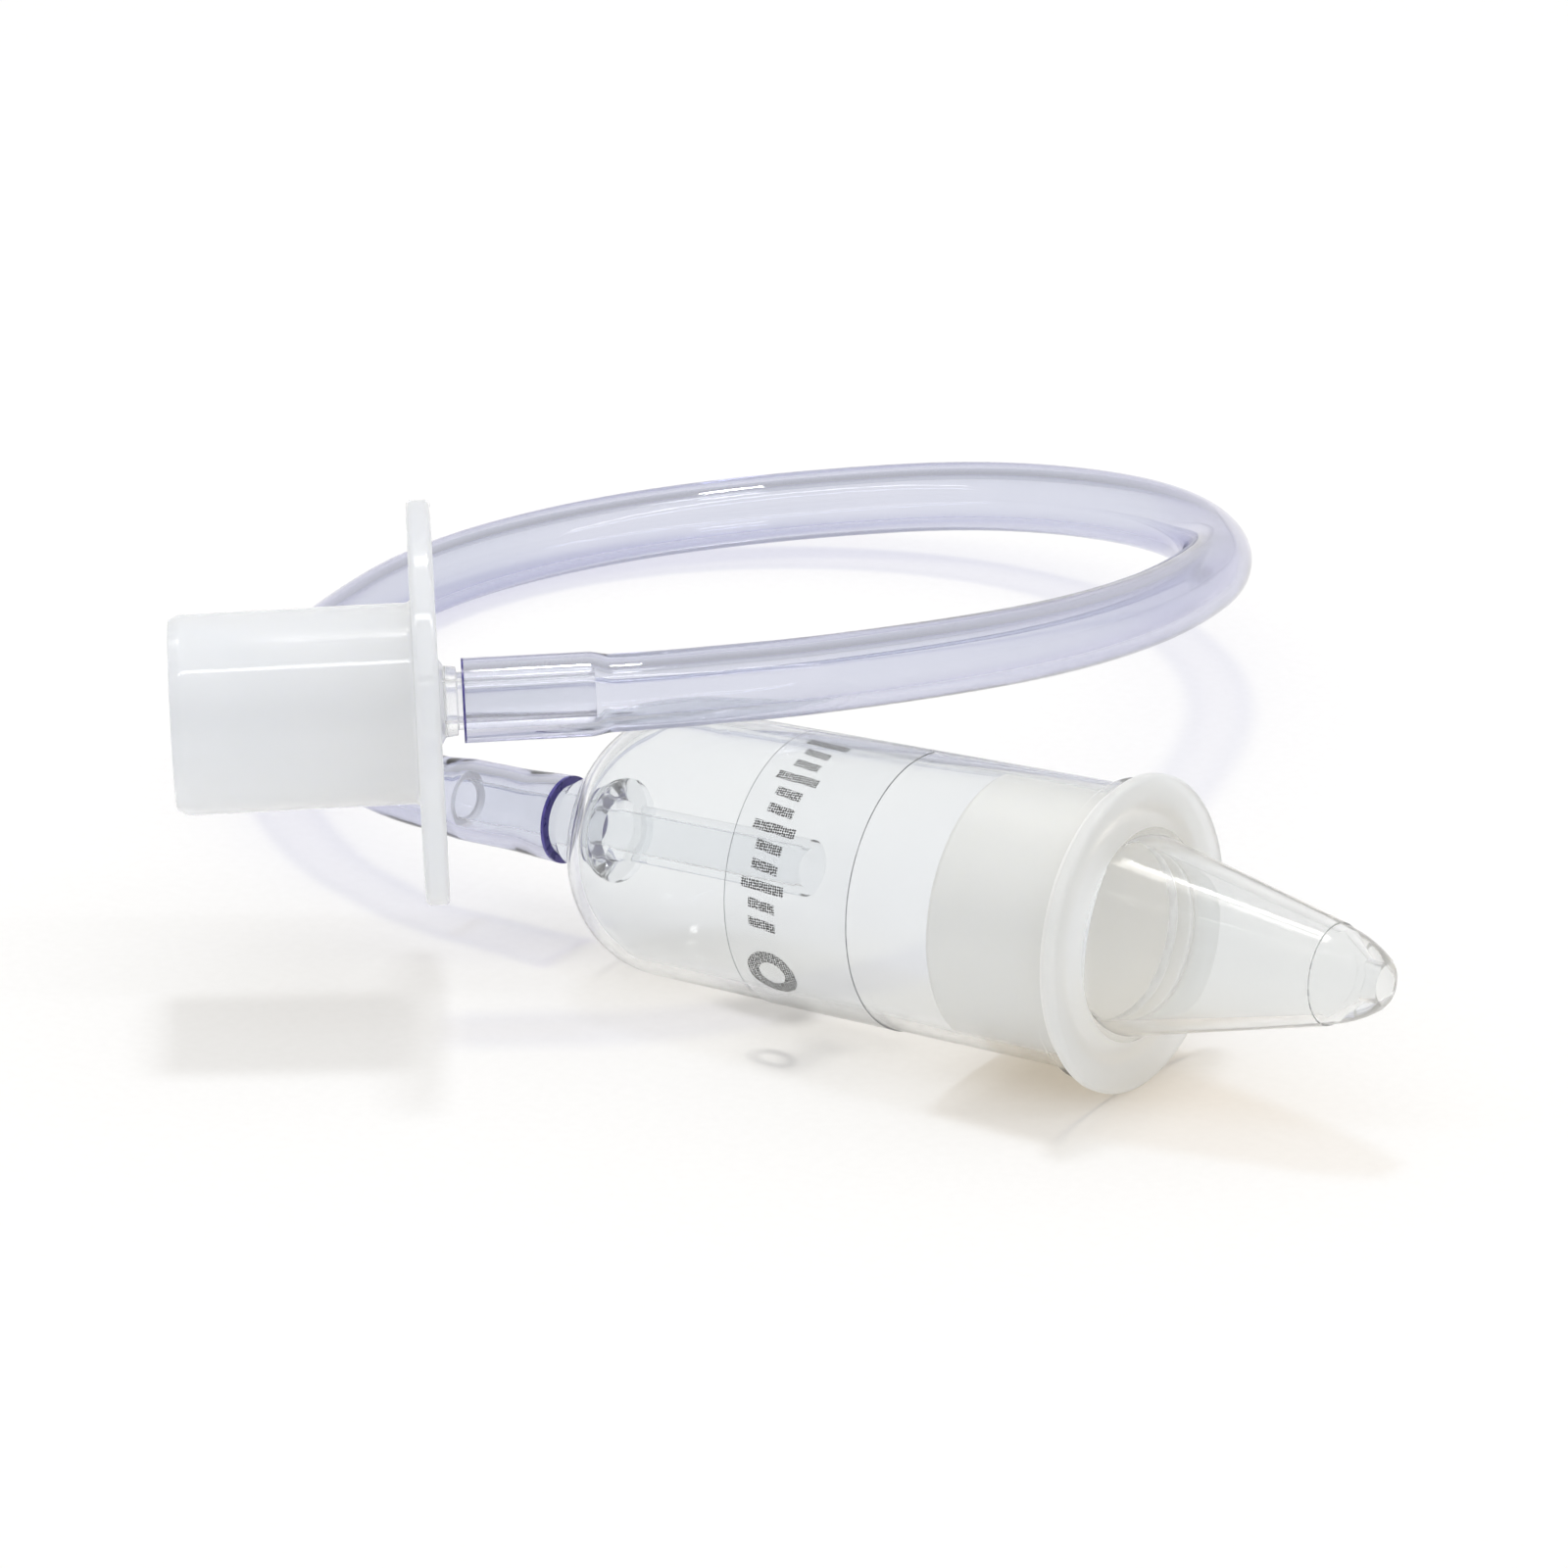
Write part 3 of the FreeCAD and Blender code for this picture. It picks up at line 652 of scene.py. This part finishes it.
def print_mesh():
    """The outlines filled, cut into narrow strips and laid round the barrel."""
    curve = bpy.data.curves.new("print", "CURVE")
    curve.dimensions, curve.fill_mode = "2D", "BOTH"
    for outline in print_outlines():
        spline = curve.splines.new("POLY")
        spline.points.add(len(outline) - 1)
        for control, (along, around) in zip(spline.points, outline):
            control.co = (along, around, 0, 1)
        spline.use_cyclic_u = True
    holder = bpy.data.objects.new("print", curve)
    bpy.context.scene.collection.objects.link(holder)
    mesh = bpy.data.meshes.new_from_object(holder)
    bpy.data.objects.remove(holder)
    bpy.data.curves.remove(curve)
    build = bmesh.new()
    build.from_mesh(mesh)
    around = -STRIP
    while around < PRINT_END:
        everything = build.verts[:] + build.edges[:] + build.faces[:]
        bmesh.ops.bisect_plane(build, geom=everything, plane_co=(0, around, 0),
                               plane_no=(0, 1, 0))
        around += STRIP
    uv = build.loops.layers.uv.verify()
    for face in build.faces:
        for loop in face.loops:
            loop[uv].uv = (loop.vert.co.x / DOT_PITCH, loop.vert.co.y / DOT_PITCH)
    for vertex in build.verts:
        along, around = vertex.co.x, vertex.co.y
        radius = LABEL_BORE + SLOPE * along + PRINT_LIFT
        angle = math.radians(PRINT_TOP) + around / radius
        vertex.co = Vector((along, radius * math.cos(angle), radius * math.sin(angle))) * MM
    build.to_mesh(mesh)
    build.free()
    mesh.name = "label_print"
    return mesh


finish_mesh("label_print", print_mesh(), label_place, (ink,), "chamber")

# ------------------------------------------------------------------ the nozzle
# 0 is the plug, 1 the nose, 2 the flange and 3 the fine line where the tip begins, a painted shade
# line in dark grey.
nozzle_corners = [
    (0.0, 12.3, 0.15, 0), (0.0, 13.1, 0.15, 0), (0.5, 13.35, 0.15, 0), (15.3, 13.35, 0.15, 2),
    (15.3, FLANGE_R, FLANGE_ROUND, 2), (16.8, FLANGE_R, FLANGE_ROUND, 2),
    (16.8, 10.3, 0.7, 1), (39.3, 5.2, 0.05, 3), (39.3, 5.05, 0.0, 1)]
TIP_ARC = 14.0
tip_start, tip_shoulder = Vector((39.3, 5.05)), Vector((44.6, 2.75))
tip_chord = tip_shoulder - tip_start
half_chord = tip_chord.length / 2
tip_left = Vector((-tip_chord.y, tip_chord.x)).normalized()
tip_centre = (tip_start + tip_shoulder) / 2 - tip_left * math.sqrt(TIP_ARC ** 2 - half_chord ** 2)
first_angle = math.degrees(math.atan2(*(tip_start - tip_centre).yx))
last_angle = math.degrees(math.atan2(*(tip_shoulder - tip_centre).yx))
nozzle_corners += arc(tip_centre.x, tip_centre.y, TIP_ARC, first_angle, last_angle, 8, 1)[1:-1]
nozzle_corners += [
    (44.6, 2.75, 0.25, 1), (45.1, 2.2, 0.2, 1), (45.1, 1.9, 0.08, 1), (42.8, 1.9, 0.15, 1),
    (39.5, 4.05, 0.4, 1), (16.0, 8.9, 0.3, 1), (14.4, 9.3, 0.1, 1), (14.4, 12.3, 0.5, 0)]
finish_mesh("nozzle_moulding", lathe("nozzle_moulding", rounded(nozzle_corners), 176),
            placement(SEAT + CHAMBER_AXIS * PLUG_ZERO, CHAMBER_AXIS),
            (plug_plastic, nose_plastic, flange_plastic, step_line_shade), "nozzle",
            ("nozzle",))

# ------------------------------------------------------------------ the mouthpiece
# 0 is the frosted mouth tube and guard, 1 the clear spigot.
mouth_corners = [
    (0.0, 9.05, 0.3, 0), (0.0, 9.7, 0.3, 0), (1.2, 10.25, 1.4, 0), (24.65, 10.25, 0.5, 0),
    (24.65, 20.65, 0.6, 0), (27.15, 20.65, 0.6, 0), (27.15, 4.4, 0.3, 0),
    (27.6, 3.65, 0.3, 1), (28.85, 3.5, 0.1, 1), (28.9, 2.95, 0.1, 1), (42.3, 2.95, 0.15, 1),
    (42.9, 2.62, 0.1, 1), (42.9, 2.0, 0.1, 1), (25.4, 2.0, 0.1, 0), (25.4, 9.05, 0.6, 0)]
finish_mesh("mouthpiece_moulding", lathe("mouthpiece_moulding", rounded(mouth_corners), 176),
            placement(GUARD + MOUTH_AXIS * MOUTH_ZERO, MOUTH_AXIS),
            (mouth_plastic, spigot_plastic), "mouthpiece", ("mouthpiece",))

# ------------------------------------------------------------------ floor and light
floor_mesh = bpy.data.meshes.new("floor")
HALF_FLOOR = 3.0
floor_mesh.from_pydata([(-HALF_FLOOR, -HALF_FLOOR, 0), (HALF_FLOOR, -HALF_FLOOR, 0),
                        (HALF_FLOOR, HALF_FLOOR, 0), (-HALF_FLOOR, HALF_FLOOR, 0)],
                       [], [(0, 1, 2, 3)])
floor = bpy.data.objects.new("floor", floor_mesh)
floor_paint, tree, shader, output = new_material("floor_paper")
shader.inputs["Roughness"].default_value = 0.9
shader.inputs["Specular IOR Level"].default_value = 0.1
grain = noise_bump(tree, shader, 900.0, 0.0001, 0.1)
link(tree, tinted(tree, grain, (0.915, 0.913, 0.91), (0.93, 0.929, 0.927)),
     shader.inputs["Base Color"])
floor_mesh.materials.append(floor_paint)
bpy.context.scene.collection.objects.link(floor)


def area_light(name, where, towards, size, power, colour, long_side):
    """Rectangular lamp facing a point, its long side turned as near as it goes."""
    data = bpy.data.lights.new(name, "AREA")
    data.shape = "RECTANGLE"
    data.size, data.size_y = size
    data.energy = power
    data.color = colour
    lamp = bpy.data.objects.new(name, data)
    back = (where - towards).normalized()
    across = (long_side - back * long_side.dot(back)).normalized()
    turn = Matrix((across, back.cross(across), back)).transposed().to_4x4()
    lamp.matrix_world = Matrix.Translation(where) @ turn
    bpy.context.scene.collection.objects.link(lamp)


# Both lamps lie along the picture's own width.
IMAGE_RIGHT = Vector((0.82834, 0.56022, 0))
middle = Vector((-0.02, 0.03, 0.015))
area_light("strip", middle + Vector((0.26, -0.386, 1.21)), middle, (2.6, 0.07), 4.9,
           (1, 1, 1), IMAGE_RIGHT)
area_light("back_top", middle + Vector((-0.22, 0.33, 1.35)), middle, (0.18, 0.14), 6.6,
           (1.0, 0.985, 0.96), IMAGE_RIGHT)
# A white surround, a little brighter at the horizon than overhead.
world = bpy.data.worlds.new("studio")
world.use_nodes = True
sky = world.node_tree
direction = node(sky, "ShaderNodeTexCoord")
parts = node(sky, "ShaderNodeSeparateXYZ")
link(sky, direction.outputs["Generated"], parts.inputs[0])
link(sky, ramp(sky, parts.outputs["Z"], 0.85, 0.62, 0.0, 0.5),
     sky.nodes["Background"].inputs["Strength"])
sky.nodes["Background"].inputs["Color"].default_value = (1.0, 1.0, 1.0, 1)
bpy.context.scene.world = world
bpy.context.scene.view_settings.view_transform = "Standard"
